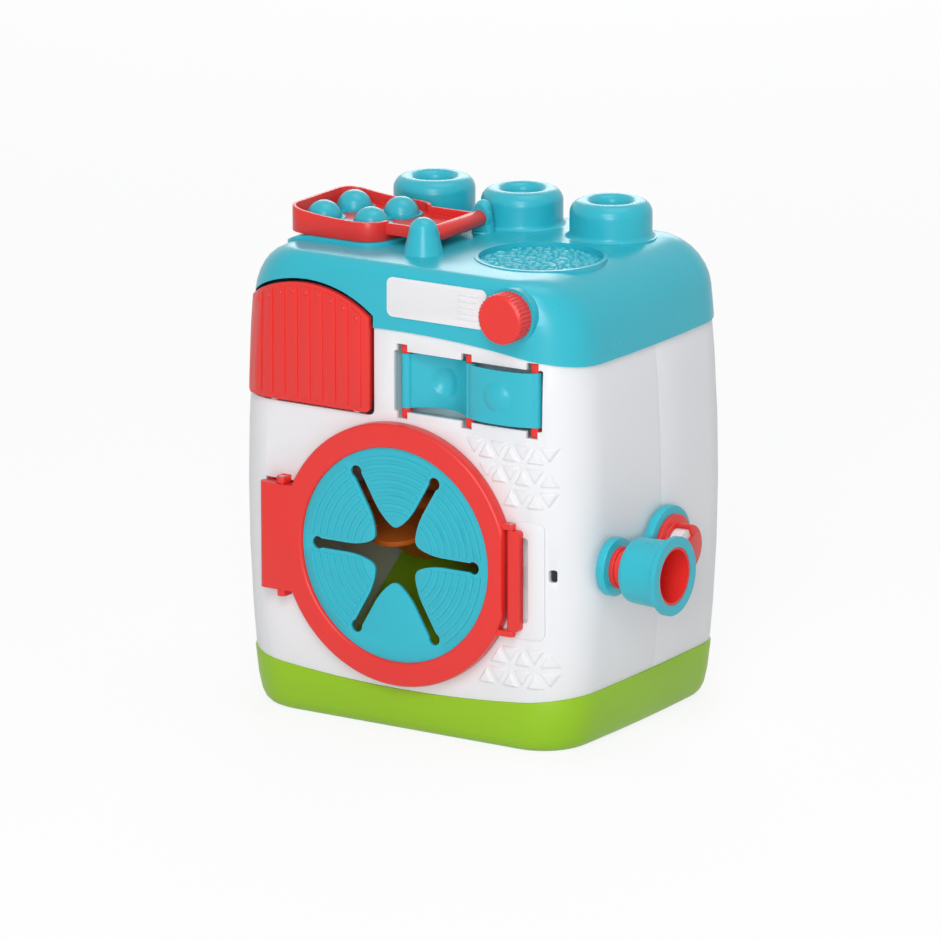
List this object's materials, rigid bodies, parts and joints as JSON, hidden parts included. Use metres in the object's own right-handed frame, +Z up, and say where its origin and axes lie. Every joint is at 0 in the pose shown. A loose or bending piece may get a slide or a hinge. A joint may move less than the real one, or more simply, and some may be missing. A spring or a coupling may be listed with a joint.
{
  "type": "toy washing machine",
  "caption": "Free-standing toy washer with a hinged slit-diaphragm door and latch, side crank, tilt-out drawer, snap strip, click dial, hinged popper tray, stacking studs and dish on top.",
  "frame": {"origin": "middle of the underside, on the floor, in the parting plane of the housing", "axes": "+X to the right of the front face, +Y to the back, +Z up"},
  "size_m": [0.2933, 0.2022, 0.3063],
  "materials": {
    "teal": "satin moulded teal plastic",
    "red": "satin moulded red plastic",
    "white": "satin moulded white plastic",
    "green": "satin moulded lime plastic",
    "orange": "satin moulded orange plastic",
    "pale": "satin moulded pale teal plastic",
    "steel": "plain steel"
  },
  "bodies": {
    "housing": {"base_tray": "green", "front_shell": "white", "rear_shell": "white", "top_cap": "teal", "housing_screws": "steel", "chamber_walls": "white", "ball_ramp": "green", "right_bushing": "white", "left_bushing": "white", "hinge_bracket": "red", "door_hinge_pin": "steel", "latch_keeper": "white", "strip_pan": "pale", "flex_strip": "teal", "drawer_pin": "steel", "label_plate": "white", "texture_pad": "teal", "tray_pin": "steel"},
    "crank": {"tumbler": "orange", "crank_shaft": "white", "crank_plate": "teal", "crank_face": "red", "handle_retainer": "steel"},
    "cup": {"cup_handle": "teal", "cup_liner": "red"},
    "door": {"door_ring": "red", "door_diaphragm": "teal", "diaphragm_retainer": "red", "latch_pin": "steel"},
    "latch": {"latch_bar": "red"},
    "strip_left": {"left_post": "red"},
    "strip_middle": {"middle_post": "red"},
    "strip_right": {"right_post": "red"},
    "drawer_body": {"drawer": "red"},
    "dial": {"dial_knob": "red", "dial_clip": "white"},
    "tray": {"popper_tray": "red", "popper_mat": "teal"},
    "pop_1": {"pop_dome_1": "teal"},
    "pop_2": {"pop_dome_2": "teal"},
    "pop_3": {"pop_dome_3": "teal"},
    "pop_4": {"pop_dome_4": "teal"}
  },
  "joints": [
    {"name": "door_swing", "type": "hinge", "parent": "housing", "child": "door", "pos_m": [-0.08, -0.0992, 0.1103], "axis": [0, 0, -1], "range_deg": [0, 110]},
    {"name": "latch_flip", "type": "hinge", "parent": "door", "child": "latch", "pos_m": [0.0807, -0.0982, 0.1062], "axis": [0, 0, -1], "range_deg": [0, 90]},
    {"name": "crank_turn", "type": "hinge", "parent": "housing", "child": "crank", "pos_m": [0.12, 0, 0.1125], "axis": [1, 0, 0], "continuous": true},
    {"name": "cup_spin", "type": "hinge", "parent": "crank", "child": "cup", "pos_m": [0.15, -0.059, 0.1125], "axis": [1, 0, 0], "continuous": true},
    {"name": "dial_turn", "type": "hinge", "parent": "housing", "child": "dial", "pos_m": [0.0785, -0.0982, 0.265], "axis": [0, -1, 0], "continuous": true},
    {"name": "drawer_tilt", "type": "hinge", "parent": "housing", "child": "drawer_body", "pos_m": [-0.06475, -0.0927, 0.1961], "axis": [1, 0, 0], "range_deg": [0, 35]},
    {"name": "tray_lift", "type": "hinge", "parent": "housing", "child": "tray", "pos_m": [-0.0065, -0.02, 0.2934], "axis": [0, 1, 0], "range_deg": [0, 95]},
    {"name": "strip_flip", "type": "hinge", "parent": "housing", "child": "strip_middle", "pos_m": [0.04715, -0.0888, 0.215], "axis": [0, 0, 1], "range_deg": [0, 78.5], "deforming": ["flex_strip"]},
    {"name": "strip_left_turn", "type": "hinge", "parent": "housing", "child": "strip_left", "pos_m": [0.0023, -0.0888, 0.215], "axis": [0, 0, 1], "range_deg": [-78.5, 0]},
    {"name": "strip_right_turn", "type": "hinge", "parent": "housing", "child": "strip_right", "pos_m": [0.092, -0.0888, 0.215], "axis": [0, 0, 1], "range_deg": [-78.5, 0]},
    {"name": "pop_1_push", "type": "slide", "parent": "tray", "child": "pop_1", "axis": [0, 0, -1], "range_m": [0, 0.004], "stiffness_N_per_m": 200},
    {"name": "pop_2_push", "type": "slide", "parent": "tray", "child": "pop_2", "axis": [0, 0, -1], "range_m": [0, 0.004], "stiffness_N_per_m": 200},
    {"name": "pop_3_push", "type": "slide", "parent": "tray", "child": "pop_3", "axis": [0, 0, -1], "range_m": [0, 0.004], "stiffness_N_per_m": 200},
    {"name": "pop_4_push", "type": "slide", "parent": "tray", "child": "pop_4", "axis": [0, 0, -1], "range_m": [0, 0.004], "stiffness_N_per_m": 200}
  ],
  "couplings": [
    {"joint": "strip_left_turn", "follows": "strip_flip", "ratio": -1},
    {"joint": "strip_right_turn", "follows": "strip_flip", "ratio": -1}
  ]
}
